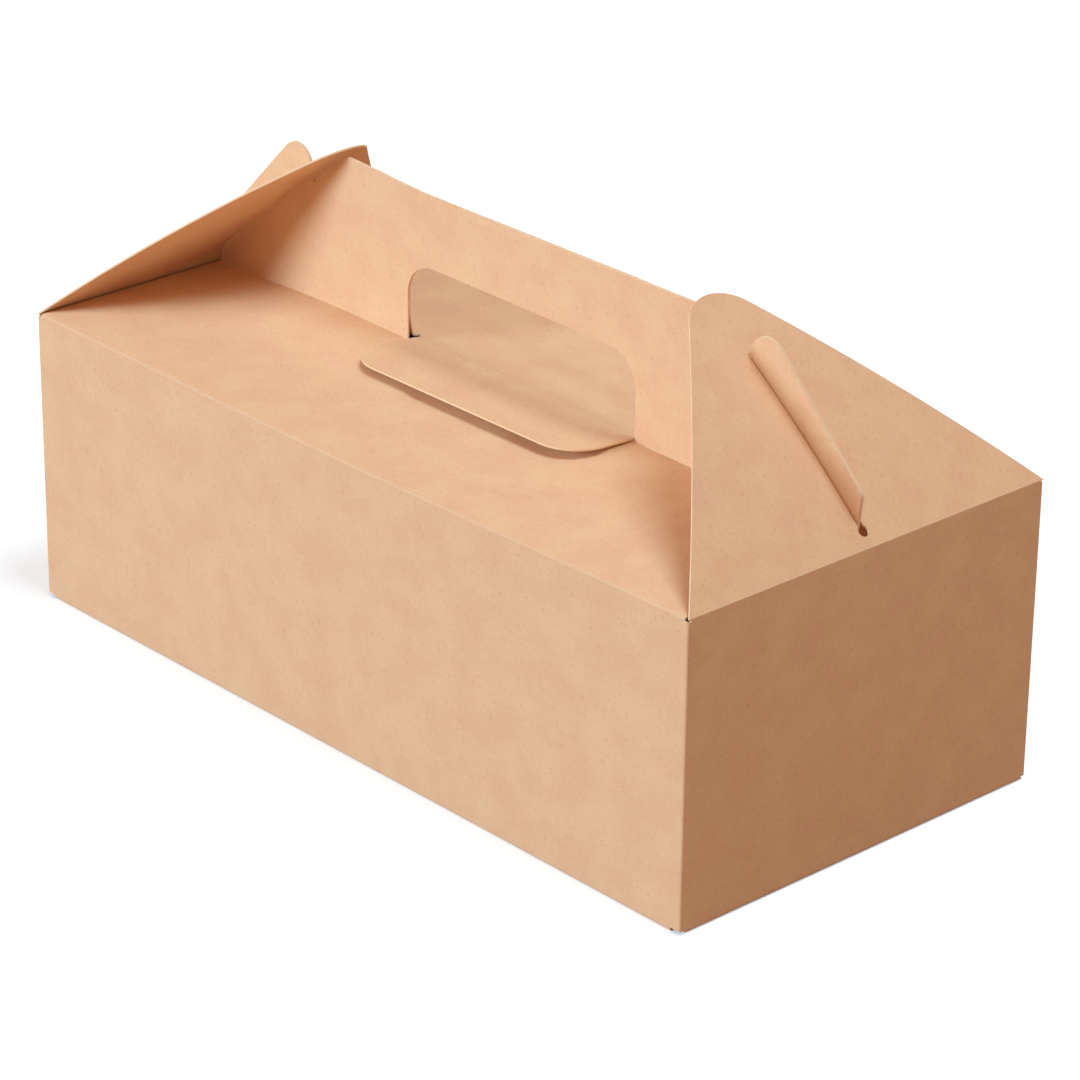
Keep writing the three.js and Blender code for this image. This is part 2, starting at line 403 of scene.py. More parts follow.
# %% The whole outline
seam_taper = 6 * mm
seam_end_gap = 5 * mm
corner_relief = 0.8 * mm
end_top = mirrored([(middle_y - corner_relief, notch_level), (middle_y - corner_relief, v_lid)])
outline = [
    (0, seam_end_gap + seam_taper),
    (wall_folds[0], seam_end_gap),
    (wall_folds[0], foot),
    *shifted(left_base, panel_middle[left_end]),
    *shifted(front_base, panel_middle[front]),
    *shifted(right_base, panel_middle[right_end]),
    *shifted(rear_base, panel_middle[rear]),
    (sheet_end, foot),
    (sheet_end, notch_level),
    *shifted(rear_chain, panel_middle[rear]),
    *shifted(end_top, panel_middle[right_end]),
    *shifted(front_chain, panel_middle[front]),
    *shifted(end_top, panel_middle[left_end]),
    (wall_folds[0], notch_level),
    (wall_folds[0], v_lid - seam_end_gap),
    (0, v_lid - seam_end_gap - seam_taper),
]
holes = [shifted(front_hole, panel_middle[front]), shifted(rear_kerf, panel_middle[rear])]
print("outline corners:", len(outline), "holes:", len(holes))

# %% [markdown]
# ## Filling an outline with triangles
# Blender can fill a flat outline with even triangles if it is given the edges that must stay and
# some points inside. Each crease gets several rows of points close together, so the fold is round
# and the shading stops right beside it. Elsewhere a 5 mm grid is enough, because the board bends
# only gently.

# %% Inside and distance
def inside(points, loop):
    """Which of the points lie inside the loop."""
    result = np.zeros(len(points), bool)
    for (ax, ay), (bx, by) in zip(loop, loop[1:] + loop[:1]):
        if ay == by:
            continue
        level = (points[:, 1] < ay) != (points[:, 1] < by)
        cross = ax + (points[:, 1] - ay) / (by - ay) * (bx - ax)
        result ^= level & (points[:, 0] < cross)
    return result


def on_board(points, outer, openings):
    """Which of the points lie inside the outline and outside its openings."""
    kept = inside(points, outer)
    for opening in openings:
        kept &= ~inside(points, opening)
    return kept


def distance_to(points, a, b):
    """Distance of each point from the segment a to b."""
    a, b = np.array(a), np.array(b)
    run = b - a
    share = np.clip((points - a) @ run / max(run @ run, 1e-18), 0, 1)
    return np.linalg.norm(points - a - share[:, None] * run, axis=1)


print("a point beside a line:", distance_to(np.array([[0.5, 2.0]]), (0, 0), (1, 0)), "away")

# %% Edges that must stay
grid_step = 5 * mm
crease_rows = [offset * mm for offset in (0, 0.15, 0.3, 0.45, 0.62, 0.95, 1.3, 1.65, 2.4)]


def split_edges(points, closed):
    """The points with long edges cut to the grid step."""
    result = []
    ends = points[1:] + points[:1] if closed else points[1:]
    for a, b in zip(points, ends):
        count = max(1, math.ceil((b - a).length / grid_step))
        result.extend(a.lerp(b, k / count) for k in range(count))
    return result if closed else [*result, points[-1]]


def fixed_edges(loops, creases):
    """Points and edges of every outline, and of the rows beside every crease."""
    vertices, edges = [], []

    def chain(points, closed):
        first = len(vertices)
        vertices.extend(points)
        edges.extend((first + k, first + k + 1) for k in range(len(points) - 1))
        if closed:
            edges.append((len(vertices) - 1, first))

    for loop in loops:
        chain(split_edges(loop, True), True)
    for a, b in creases:
        across = (b - a).normalized().yx * Vector((-1, 1))
        for offset in crease_rows:
            for side in sorted({-offset, offset}):
                chain(split_edges([a + across * side, b + across * side], False), False)
    return vertices, edges


print("rows beside a crease:", 2 * len(crease_rows) - 1)

# %% Triangles
grid_margin = 0.4 * grid_step
weld_distance = 1e-7


def grid_points(outer, openings, creases):
    """An even grid of points on the board, clear of its edges and creases."""
    low, high = np.array(outer).min(axis=0), np.array(outer).max(axis=0)
    grid = np.mgrid[low[0]:high[0]:grid_step, low[1]:high[1]:grid_step].reshape(2, -1).T
    keep = on_board(grid, outer, openings)
    for loop in (outer, *openings):
        for a, b in zip(loop, loop[1:] + loop[:1]):
            keep &= distance_to(grid, a, b) > grid_margin
    for a, b in creases:
        keep &= distance_to(grid, a, b) > crease_rows[-1] + grid_margin
    return [Vector(p) for p in grid[keep]]


def fill(outer, openings, creases):
    """Points and triangles of a flat sheet, with rows of points along the creases."""
    vertices, edges = fixed_edges((outer, *openings), creases)
    vertices += grid_points(outer, openings, creases)
    points, _, faces, *_ = delaunay_2d_cdt(vertices, edges, [], 0, weld_distance, False)
    flat = np.array([tuple(p) for p in points])
    triangles = np.array([tuple(f) for f in faces])
    kept = on_board(flat[triangles].mean(axis=1), outer, openings)
    used, triangles = np.unique(triangles[kept], return_inverse=True)
    return flat[used], triangles.reshape(-1, 3)


print("grid step", round(grid_step / mm, 1), "mm")

# %% [markdown]
# ## From a surface to board
# The Solidify modifier would give the sheet its thickness, but a few lines of mesh code also round
# the cut edges a little, give them a material of their own, and make the edge at a hinge a half
# round, so that a flap can turn without opening a gap. The flat place of each point is kept for the
# grain, with its distances to the creases that get a pale line of stretched fibre and painted
# highlight, and to the lid creases, for a tint of painted shade.

# %% Normals and border
def normals_and_border(places, triangles):
    """The normal at each point, and the border edges with the board to the left of each."""
    sheet = bmesh.new()
    corners = [sheet.verts.new(place) for place in places]
    for a, b, c in triangles:
        sheet.faces.new((corners[a], corners[b], corners[c]))
    sheet.normal_update()
    sheet.verts.index_update()
    normals = [corner.normal.copy() for corner in corners]
    border = []
    for edge in sheet.edges:
        if len(edge.link_faces) == 1:
            loop = next(l for l in edge.link_faces[0].loops if l.edge == edge)
            border.append((loop.vert.index, loop.link_loop_next.vert.index))
    sheet.free()
    return normals, border


def outwards(places, normals, border):
    """At each border point, the direction out of the board in its own plane."""
    out = {}
    for a, b in border:
        normal = (normals[a] + normals[b]).normalized()
        across = (places[b] - places[a]).cross(normal).normalized()
        for k in (a, b):
            out[k] = out.get(k, Vector()) + across
    return {k: direction.normalized() for k, direction in out.items()}


test_places = [Vector((0, 0, 0)), Vector((1, 0, 0)), Vector((0, 1, 0))]
print("border of one triangle:", normals_and_border(test_places, [(0, 1, 2)])[1])

# %% Rim round the edge
edge_bulge = 0.06 * mm
cut_edge_steps = 2
hinge_edge_steps = 8
face_kind, edge_kind = 0, 1


def rim(places, normals, border, on_hinge):
    """New points and faces round the edge: a low bulge where it is cut, a half round at a hinge.
    Also the sheet point that each new point comes from, and the material of each face."""
    count = len(places)
    points, source, faces, kinds, rings = [], [], [], [], {}
    for k, out in outwards(places, normals, border).items():
        steps = hinge_edge_steps if k in on_hinge else cut_edge_steps
        bulge = board / 2 if k in on_hinge else edge_bulge
        ring = [k]
        for step in range(1, steps):
            angle = math.pi * step / steps
            offset = normals[k] * math.cos(angle) * board / 2 + out * math.sin(angle) * bulge
            ring.append(2 * count + len(points))
            points.append(places[k] + offset)
            source.append(k)
        rings[k] = [*ring, k + count]
    for a, b in border:
        ring_a, ring_b = rings[a], rings[b]
        if len(ring_a) == len(ring_b):
            strips = [(ring_b[i], ring_a[i], ring_a[i + 1], ring_b[i + 1])
                      for i in range(len(ring_a) - 1)]
        else:
            strips = [(*reversed(ring_a), *ring_b)]
        faces.extend(strips)
        kinds.extend([face_kind if {a, b} <= on_hinge else edge_kind] * len(strips))
    return points, source, faces, kinds


print("cut edges bulge", round(edge_bulge / mm, 2), "mm, the hinge edge", round(board / 2 / mm, 2))

# %% Board mesh
on_line = 1e-6
far_away = 1.0
sharp_angle = math.radians(38)


def store(mesh, name, kind, field, values):
    """Keeps one value for each point of the mesh, under a name that a material can read."""
    layer = mesh.attributes.new(name, kind, "POINT")
    layer.data.foreach_set(field, values.astype(np.float32).ravel())


def nearest_line(flat, lines):
    """Distance of each point of the sheet from the nearest of the lines."""
    nearest = np.full(len(flat), far_away)
    for a, b in lines:
        nearest = np.minimum(nearest, distance_to(flat, a, b))
    return nearest


def board_mesh(name, flat, triangles, places, stretch_and_highlight, painted_shade, materials, hinge_line=None):
    """A closed mesh of board around the middle surface that the places describe."""
    count = len(places)
    normals, border = normals_and_border(places, triangles)
    on_hinge = set()
    if hinge_line is not None:
        on_hinge = {k for k in range(count) if abs(flat[k][0] - hinge_line) < on_line}
    rim_points, rim_source, rim_faces, rim_kinds = rim(places, normals, border, on_hinge)

    vertices = [p + n * board / 2 for p, n in zip(places, normals)]
    vertices += [p - n * board / 2 for p, n in zip(places, normals)]
    faces = [tuple(int(k) for k in t) for t in triangles]
    faces += [tuple(int(k) + count for k in reversed(t)) for t in triangles]
    kinds = [face_kind] * len(faces) + rim_kinds
    mesh = bpy.data.meshes.new(name)
    mesh.from_pydata(vertices + rim_points, [], faces + rim_faces)
    mesh.validate()
    for material in materials:
        mesh.materials.append(material)
    mesh.polygons.foreach_set("material_index", kinds)
    mesh.shade_smooth()
    mesh.set_sharp_from_angle(angle=sharp_angle)

    source = [*range(count), *range(count), *rim_source]
    flat_mm = np.pad(flat[source] / mm, ((0, 0), (0, 1)))
    store(mesh, "blank_mm", "FLOAT_VECTOR", "vector", flat_mm)
    # Distance to the creases that get a pale line of stretched fibre and painted highlight.
    store(mesh, "stretch_and_highlight_mm", "FLOAT", "value", nearest_line(flat, stretch_and_highlight)[source] / mm)
    # Distance to the lid creases, for the painted shade.
    store(mesh, "painted_shade_mm", "FLOAT", "value", nearest_line(flat, painted_shade)[source] / mm)

    piece = bpy.data.objects.new(name, mesh)
    bpy.context.scene.collection.objects.link(piece)
    print(name, "has", len(mesh.polygons), "faces and measures",
          [round(d / mm, 1) for d in piece.dimensions])
    return piece


print("edges sharper than", round(math.degrees(sharp_angle)), "degrees stay crisp")

# %% [markdown]
# ## Materials
# Unbleached kraft board is pressed wood fibre with no coating. Up close it is a tan field with pale
# and dark fibres, soft cloudy patches, small flecks and a few brown specks, and it is quite matt. A
# cut edge shows the loose fibre inside the board, which is paler, and it is made paler still as a
# painted highlight. Along an upright crease the surface fibre is stretched, and the thin pale line
# there is both that and painted highlight. The fold into a lid gets a darker tint, which is painted
# shade that tones down the light on its round fold.
#
# A photo of board as a texture would be quick, but it would stretch and repeat. Patterns laid over
# each other in the flat sheet's own millimetres stay sharp at any size.

# %% Colours and nodes
def linear(hex_colour):
    """An sRGB hex colour as the linear values that shaders use."""
    parts = [int(hex_colour[i:i + 2], 16) / 255 for i in (1, 3, 5)]
    return (*[c / 12.92 if c <= 0.04045 else ((c + 0.055) / 1.055) ** 2.4 for c in parts], 1.0)


def add(tree, kind, inputs=(), **settings):
    """Adds a node with its settings. Inputs are (socket, value or output) pairs."""
    node = tree.nodes.new(kind)
    for name, value in settings.items():
        setattr(node, name, value)
    for socket, value in inputs:
        if isinstance(value, bpy.types.NodeSocket):
            tree.links.new(value, node.inputs[socket])
        else:
            node.inputs[socket].default_value = value
    return node


print("mid grey is", round(linear("#808080")[0], 3), "in linear light")

# %% [markdown]
# The finish is built up as a printer lays inks: a base colour, then one tint after another, each
# showing only where its pattern is strong enough. Real fibres are about 2.5 mm long and far thinner
# than a pixel, so they are drawn 0.28 mm wide to show at all.

# %% Tints and fibres
fibre_length = 2.4
fibre_width = 0.28


def tinted(tree, base, over, pattern, low, high, most=1.0):
    """Lays a colour over a base where the pattern goes from low to high, up to a share of most."""
    share = add(tree, "ShaderNodeMapRange",
                [("Value", pattern), ("From Min", low), ("From Max", high), ("To Max", most)],
                interpolation_type="SMOOTHSTEP")
    mixed = add(tree, "ShaderNodeMix",
                [("Factor", share.outputs["Result"]), (6, base), (7, linear(over))],
                data_type="RGBA")
    return mixed.outputs[2]


def fibres(tree, flat, turn, seed):
    """Thin streaks along one direction of the flat sheet, as a value round 0.5."""
    bent = add(tree, "ShaderNodeMapping",
               [("Vector", flat), ("Rotation", (0, 0, math.radians(turn)))])
    drawn_out = add(tree, "ShaderNodeMapping",
                    [("Vector", bent.outputs[0]), ("Scale", (1 / fibre_length, 1 / fibre_width, 1)),
                     ("Location", (seed, seed * 0.7, 0))])
    noise = add(tree, "ShaderNodeTexNoise",
                [("Vector", drawn_out.outputs[0]), ("Scale", 1.0), ("Detail", 2.0),
                 ("Roughness", 0.55), ("Distortion", 0.35)])
    return noise.outputs["Fac"]


print("fibres", fibre_length, "x", fibre_width, "mm")

# %% Clouds, flecks and fibres of the board
kraft_tan = "#E8BF98"
kraft_deep = "#E5B692"
kraft_pale = "#EAC3A0"
fibre_dark = "#C99B72"
fibre_pale = "#F0D2B4"
cloud_size = 14.0
patch_size = 4.5
fleck_size = 1.5
fibre_layers = ((4, 3.1, 0.42), (74, 7.7, 0.32), (128, 11.3, 0.28))


def fibre_field(tree, flat):
    """The board's colour away from creases and specks, and the fibres of each direction."""
    clouds, patches, flecks = [
        add(tree, "ShaderNodeTexNoise",
            [("Vector", flat), ("Scale", 1 / size), ("Detail", detail)]).outputs["Fac"]
        for size, detail in ((cloud_size, 3.0), (patch_size, 4.0), (fleck_size, 2.0))
    ]
    colour = tinted(tree, linear(kraft_deep), kraft_tan, clouds, 0.3, 0.7)
    colour = tinted(tree, colour, kraft_pale, patches, 0.5, 0.75, 0.35)
    colour = tinted(tree, colour, fibre_dark, flecks, 0.56, 0.72, 0.3)
    layers = [(fibres(tree, flat, turn, seed), most) for turn, seed, most in fibre_layers]
    for streaks, most in layers:
        colour = tinted(tree, colour, fibre_pale, streaks, 0.62, 0.78, most)
        colour = tinted(tree, colour, fibre_dark, streaks, 0.36, 0.22, most)
    return colour, [streaks for streaks, _ in layers]


print("clouds, patches and flecks of", cloud_size, patch_size, fleck_size, "mm")

# %% Specks
speck_brown = "#A97C55"
speck_pitch = 3.4
speck_radius = 0.36
speck_strength = 0.55


def specks(tree, flat):
    """How much of a brown speck shows at each place: one dot to a cell, and most cells bare."""
    cells = add(tree, "ShaderNodeTexVoronoi",
                [("Vector", flat), ("Scale", 1 / speck_pitch), ("Randomness", 1.0)])
    chance = add(tree, "ShaderNodeSeparateColor", [("Color", cells.outputs["Color"])])
    rare = add(tree, "ShaderNodeMapRange",
               [("Value", chance.outputs["Red"]), ("From Min", 0.45), ("From Max", 0.95),
                ("To Max", speck_strength)],
               interpolation_type="SMOOTHSTEP")
    rim_of_dot = speck_radius / speck_pitch
    dot = add(tree, "ShaderNodeMapRange",
              [("Value", cells.outputs["Distance"]), ("From Min", rim_of_dot),
               ("From Max", 0.4 * rim_of_dot)],
              interpolation_type="SMOOTHSTEP")
    spot = add(tree, "ShaderNodeMath",
               [(0, rare.outputs["Result"]), (1, dot.outputs["Result"])], operation="MULTIPLY")
    return spot.outputs[0]


print("a cell of", speck_pitch, "mm for each speck of", 2 * speck_radius, "mm")

# %% [markdown]
# Bare board starts from the usual IOR of 1.45 and no metal. Its fibres scatter light well, so it is
# rough, and its weak sheen is turned down further. The bump is only 0.012 mm deep.

# %% Kraft board
# Pale line along the wall corners and flap hinges: stretched fibre, and painted highlight.
crease_pale_and_highlight = "#F2D3B5"
# Darker tint along the lid creases: painted shade, which tones down the light on their round fold.
crease_painted_shade = "#D2A888"
# Cut edge colour: the paler inner fibre, made paler still as painted highlight.
cut_pale_and_highlight = "#F0D0AE"
pale_and_highlight_width = 0.55
painted_shade_width = 1.3
cut_pale_and_highlight_share = 0.7
fibre_relief = 0.012 * mm


def kraft_board(name, cut_edge=False):
    """Uncoated kraft board: tan, cloudy, fibrous and matt. The cut edge is paler, from its inner
    fibre and partly as painted highlight. The pale crease lines are partly painted highlight, and the
    lid creases get painted shade.
    """
    material = bpy.data.materials.new(name)
    material.use_nodes = True
    tree = material.node_tree
    tree.nodes.clear()
    flat = add(tree, "ShaderNodeAttribute", attribute_name="blank_mm").outputs["Vector"]
    stretch_and_highlight = add(tree, "ShaderNodeAttribute", attribute_name="stretch_and_highlight_mm").outputs["Fac"]
    painted_shade = add(tree, "ShaderNodeAttribute", attribute_name="painted_shade_mm").outputs["Fac"]
    colour, streaks = fibre_field(tree, flat)
    colour = add(tree, "ShaderNodeMix",
                 [("Factor", specks(tree, flat)), (6, colour), (7, linear(speck_brown))],
                 data_type="RGBA").outputs[2]
    # Painted highlight, with stretched fibre: a thin pale line along the wall corners and flap
    # hinges.
    colour = tinted(tree, colour, crease_pale_and_highlight, stretch_and_highlight, pale_and_highlight_width, 0.1, 0.22)
    # Painted shade: a darker tint along the lid creases.
    colour = tinted(tree, colour, crease_painted_shade, painted_shade, painted_shade_width, 0.5, 0.6)
    # The cut edge is paler: its inner fibre, and partly painted highlight.
    if cut_edge:
        colour = add(tree, "ShaderNodeMix",
                     [("Factor", cut_pale_and_highlight_share), (6, colour), (7, linear(cut_pale_and_highlight))],
                     data_type="RGBA").outputs[2]
    relief = add(tree, "ShaderNodeMath", [(0, streaks[0]), (1, streaks[1])], operation="ADD")
    bump = add(tree, "ShaderNodeBump",
               [("Height", relief.outputs[0]), ("Distance", fibre_relief), ("Strength", 0.6)])
    shader = add(tree, "ShaderNodeBsdfPrincipled",
                 [("Base Color", colour), ("Roughness", 0.82), ("IOR", 1.45),
                  ("Specular IOR Level", 0.25), ("Normal", bump.outputs[0])])
    add(tree, "ShaderNodeOutputMaterial", [("Surface", shader.outputs[0])])
    return material


kraft_face = kraft_board("kraft board, uncoated face")
kraft_edge = kraft_board("kraft board, cut edge", cut_edge=True)
print("materials:", kraft_face.name, "and", kraft_edge.name)

# %% [markdown]
# ## Folding the carton
# Each point of the flat sheet belongs to one wall and goes to its place by that wall's section. The
# tongue follows a line of its own, because nothing creases it: it stays in the plane of the rear
# lid and slopes up a little where it passes over the front panel's crease.
#
# Board never lies quite flat. The long walls spring outwards in the middle, most at the top, and
# the lids carry that along and sag. One smooth push in space does this to every panel at once, so
# no fold opens.

# %% Spring of the walls and lids
front_spring = 2.0 * mm
end_spring = 0.7 * mm
end_focus = 5
lid_crown = 0.9 * mm
sag_start = 3 * mm
sag_fade = 10 * mm


def smooth(x):
    x = min(max(x, 0.0), 1.0)
    return x * x * (3 - 2 * x)


def sprung(place):
    """The place after the board has sprung out of its flat planes."""
    x, y, z = place
    along = math.cos(math.pi * x / (2 * half_length)) ** 2
    across = math.cos(math.pi * y / (2 * half_width)) if abs(y) < half_width else 0.0
    out_y = front_spring * along * smooth(z / lid_level) * (y / half_width) * abs(y / half_width)
    belly = math.sin(math.pi * (z / lid_level)) if z < lid_level else 0.0
    out_x = end_spring * across * belly * (x / half_length) ** end_focus
    sag = 0.0
    if z < crease_top and abs(y) > ply_middle:
        sag = lid_crown * along * across * smooth((z - lid_level + sag_start) / sag_start)
    return Vector((x + out_x, y + out_y, z - sag * min(1.0, abs(y) / sag_fade)))


print("spring at the middle of a long wall:",
      round((sprung((0, half_width, lid_level)).y - half_width) / mm, 2), "mm")

# %% [markdown]
# The left end of the handle rides up: its ridge kinks, and its crease lifts the lids beside it. The
# tongue pushes the rear crease up beside itself, and the two plies gape at the left foot of the
# hand hole. Each is a small smooth shift that fades out, so the sheet stays in one piece.

# %% Raised left end of the handle
rise_at = np.array([-148, -135, -120, -105, -88, -70, -52, 0, 52, 95]) * mm
rise_height = np.array([0.2, 0.75, 1.4, 2.1, 2.4, 2.2, 1.85, 1.2, 0.6, 0.0]) * mm
rise_start = 0.45
rise_power = 1.6
rise_blend = 1 * mm
ridge_kick = 2.0 * mm
kick_from = 40 * mm
kick_run = 45 * mm


def end_rise(x, y, z):
    """How far the left end of the handle rides up, with the lid following it near the crease."""
    crease = float(np.interp(x, rise_at, rise_height))
    if z < crease_top + board:
        near = max(0.0, (1 - abs(y) / half_width - rise_start) / (1 - rise_start))
        return crease * near ** rise_power * smooth((z - lid_level + rise_blend) / rise_blend)
    share = min((z - crease_top) / ridge_rise, 1.0)
    return crease * (1 - share) + ridge_kick * smooth((-x - kick_from) / kick_run) * share


print("the crease rises up to", rise_height.max() / mm, "mm, the ridge", round(ridge_kick / mm, 1))

# %% Tongue's push and gaping plies
lift_reach = 60 * mm
gape = 1.9 * mm
gape_at = -55 * mm
gape_half = 10 * mm
gape_rise = 12 * mm
gape_fade = 14 * mm


def tongue_lift(x, y, z):
    """How far the tongue pushes the rear crease up beside it."""
    window = smooth((lift_reach - abs(x)) / (lift_reach - hole_half))
    if z < crease_top + board:
        share = 1 - min(abs(y) / tongue_root, 1.0)
    else:
        share = 1 - min((z - crease_top) / hole_rise, 1.0)
    return tongue_root * math.tan(tongue_slope) * window * share


def ply_gape(x, y, z):
    """How far the rear panel gapes behind the front one at the left foot of the hand hole."""
    near = math.exp(-((x - gape_at) / gape_half) ** 2)
    if z > crease_top + board:
        return gape * near * max(0.0, 1 - (z - crease_top) / gape_rise) ** 2
    return gape * near * math.exp(-abs(y) / gape_fade) * smooth((z - base_level) / lid_level)


print("the tongue lifts its crease by", round(tongue_lift(0, 0, lid_level) / mm, 2), "mm")

# %% Where each point goes
def placed(u, v, on_tongue):
    """The place on the folded carton of a point of the flat sheet."""
    panel = max(k for k in range(len(sections)) if k == 0 or u >= girth_total[k])
    x, y = folded_point(girth, girth_total, u)
    corners, total, base_fold = tongue_section if on_tongue else sections[panel]
    depth, z = folded_point(corners, total, v + base_fold)
    x += inward[panel].x * depth
    y += inward[panel].y * depth
    if panel == rear and not on_tongue:
        z += tongue_lift(x, y, z) if v > v_lid + board else 0.0
        y += ply_gape(x, y, z)
    if panel in (front, rear):
        rise = end_rise(x, max(y, 0.0) if on_tongue else y, z)
        z += rise * (1 + min(y, 0.0) / tongue_length) if on_tongue else rise
    return sprung((x, y, z))


front_corner = placed(wall_folds[1], v_lid / 2, False)
print("front left corner of the carton at", [round(c / mm, 1) for c in front_corner], "mm")

# %% Creases
def level_crease(start, end, v):
    return Vector((start, v)), Vector((end, v))


wall_creases = [(Vector((u, foot)), Vector((u, v_lid))) for u in wall_folds]
base_creases = [level_crease(*panel_ends[k], 0) for k in (left_end, front, right_end, rear)]
lid_creases = [level_crease(*panel_ends[k], v_lid) for k in (front, rear)]
front_middle, rear_middle = panel_middle[front], panel_middle[rear]
handle_creases = [
    level_crease(front_middle - lid_half, front_middle + lid_half, v_crease),
    level_crease(rear_middle - lid_half, rear_middle - hole_half, v_crease),
    level_crease(rear_middle + hole_half, rear_middle + lid_half, v_crease),
]
carton_creases = [*wall_creases, *base_creases, *lid_creases, *handle_creases]
print("creases:", len(carton_creases))

# %% The folded carton
flat, triangles = fill(rounded(outline), [rounded(hole) for hole in holes], carton_creases)
on_tongue = inside(flat, [p + Vector((rear_middle, 0)) for p in tongue_zone])
places = [placed(u, v, tongue) for (u, v), tongue in zip(flat, on_tongue)]
carton = board_mesh("folded_kraft_carton", flat, triangles, places, wall_creases, lid_creases,
                    [kraft_face, kraft_edge])
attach(carton, "carton")
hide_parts("folded_carton")

# %% [markdown]
# ## Gable flaps
# A gable flap is a triangle with a round tip. It leans on the handle, and the board springs into a
# shallow arc between its crease and its tip. The slit is cut on the middle line. It stands open
# where the two wings come through, closes to a hairline beyond the nose, and starts in a round hole
# that keeps it from tearing. That hole is smaller on the left than on the right.

# %% Flap outline
gable_length = 89.5 * mm
gable_tip_radius = 14.5 * mm
tip_steps = 20
tip_centre = gable_length - gable_tip_radius
to_tip = math.hypot(tip_centre, half_width)
side_angle = math.asin(gable_tip_radius / to_tip) - math.atan2(half_width, tip_centre)


def flap_outline():
    """From one end of the crease round the tip to the other, as distance from the crease and y."""
    touch = side_angle + math.pi / 2
    arc = [-touch + 2 * touch * k / tip_steps for k in range(tip_steps + 1)]
    tip = [
        Vector((tip_centre + gable_tip_radius * math.cos(a), gable_tip_radius * math.sin(a)))
        for a in arc
    ]
    return [Vector((0, -half_width + board / 2)), *tip, Vector((0, half_width - board / 2))]


print("flap outline:", len(flap_outline()), "points")

# %% Slit
slit_half = 1.05 * mm
hairline_half = 0.04 * mm
slit_taper = 0.8 * mm
slit_end = 69.6 * mm
relief_radius = {"left": 1.15 * mm, "right": 1.9 * mm}
relief_start = {"left": 6.1 * mm, "right": 3.4 * mm}
hole_steps = 16
nose_at = (nose_inset - board / 2) / math.cos(gable_angle) + slit_taper


def slit_outline(name):
    """The round relief hole, and the slit from it to beyond the nose."""
    radius = relief_radius[name]
    centre = relief_start[name] + radius
    mouth = math.asin(slit_half / radius)
    arc = [mouth + (2 * math.pi - 2 * mouth) * k / hole_steps for k in range(hole_steps + 1)]
    hole = [Vector((centre + radius * math.cos(a), radius * math.sin(a))) for a in arc]
    return [
        *hole,
        Vector((nose_at, -slit_half)),
        Vector((nose_at + slit_taper, -hairline_half)),
        Vector((slit_end, -hairline_half)),
        Vector((slit_end, hairline_half)),
        Vector((nose_at + slit_taper, hairline_half)),
        Vector((nose_at, slit_half)),
    ]


print("slit from", relief_start["right"] / mm, "to", round(slit_end / mm, 1), "mm from the crease")

# %% [markdown]
# The left flap lies over the raised end of the handle, so it stands a little steeper and bulges
# beside its crease. Both flaps turn on the hinges of the frame, which run through the middle of the
# board.

# %% Bow of a flap
gable_bow = 2.2 * mm
left_kick = math.radians(1.2)
bulge_height = 1.4 * mm
bulge_from = 6 * mm
bulge_fade = 35 * mm
bulge_half = 18 * mm
bow_radius = (gable_length ** 2 / 4 + gable_bow ** 2) / (2 * gable_bow)
bow_reach = math.asin(gable_length / 2 / bow_radius)


def flap_bulge(s, y):
    """How far the left flap is pushed up beside its crease by the raised end of the handle."""
    along = smooth(s / bulge_from) * (1 - smooth((s - bulge_from) / bulge_fade))
    return bulge_height * along * math.exp(-(y / bulge_half) ** 2)


def flap_place(side, s, y):
    """A point of the flap at distance s from its hinge, on the end at x with that sign."""
    lean = gable_angle + (left_kick if side < 0 else 0.0)
    angle = bow_reach * (2 * s / gable_length - 1)
    up = gable_length / 2 + bow_radius * math.sin(angle)
    out = gable_bow - bow_radius + bow_radius * math.cos(angle)
    out += flap_bulge(s, y) if side < 0 else 0.0
    x = side * (hinge_x - up * math.cos(lean) + out * math.sin(lean))
    z = lid_level + up * math.sin(lean) + out * math.cos(lean)
    return Vector((x, -side * y, z))


print("a flap bows to a radius of", round(bow_radius / mm), "mm")

# %% Both flaps
flap_crease = [(Vector((0, -half_width)), Vector((0, half_width)))]
for name, side in (("left", -1), ("right", 1)):
    flap_flat, flap_triangles = fill(flap_outline(), [slit_outline(name)], flap_crease)
    flap_places = [flap_place(side, s, y) for s, y in flap_flat]
    flap = board_mesh(f"{name}_gable_board", flap_flat, flap_triangles, flap_places, flap_crease,
                      [], [kraft_face, kraft_edge], hinge_line=0.0)
    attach(flap, f"{name}_gable")
    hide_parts(f"{name}_gable_flap")

# %% [markdown]
# ## Light, floor and camera
# The carton stands on a white sweep under soft light. The white behind and below it is only for
# rays from the camera, straight or by gloss or glass, so it lights nothing. Besides the lamps, the
# board is lit by a dim warm room and by a warm floor, which stand for light that goes back and forth
# between floor and tan board.

# %% World
ambient_colour = "#FFD4AA"
ambient_strength = 0.45


def seen_directly(tree):
    """One for rays that show a surface to the camera, straight or by gloss or glass, else zero."""
    path = add(tree, "ShaderNodeLightPath")
    seen = path.outputs["Is Camera Ray"]
    for other in ("Is Glossy Ray", "Is Transmission Ray"):
        seen = add(tree, "ShaderNodeMath", [(0, seen), (1, path.outputs[other])],
                   operation="MAXIMUM").outputs[0]
    return seen


world = bpy.data.worlds.new("studio")
bpy.context.scene.world = world
world.use_nodes = True
tree = world.node_tree
tree.nodes.clear()
room = add(tree, "ShaderNodeBackground",
           [("Color", linear(ambient_colour)), ("Strength", ambient_strength)])
white = add(tree, "ShaderNodeBackground", [("Color", (1, 1, 1, 1)), ("Strength", 1.0)])
mixed = add(tree, "ShaderNodeMixShader",
            [(0, seen_directly(tree)), (1, room.outputs[0]), (2, white.outputs[0])])
add(tree, "ShaderNodeOutputWorld", [("Surface", mixed.outputs[0])])
print("world:", ambient_colour, "at", ambient_strength)

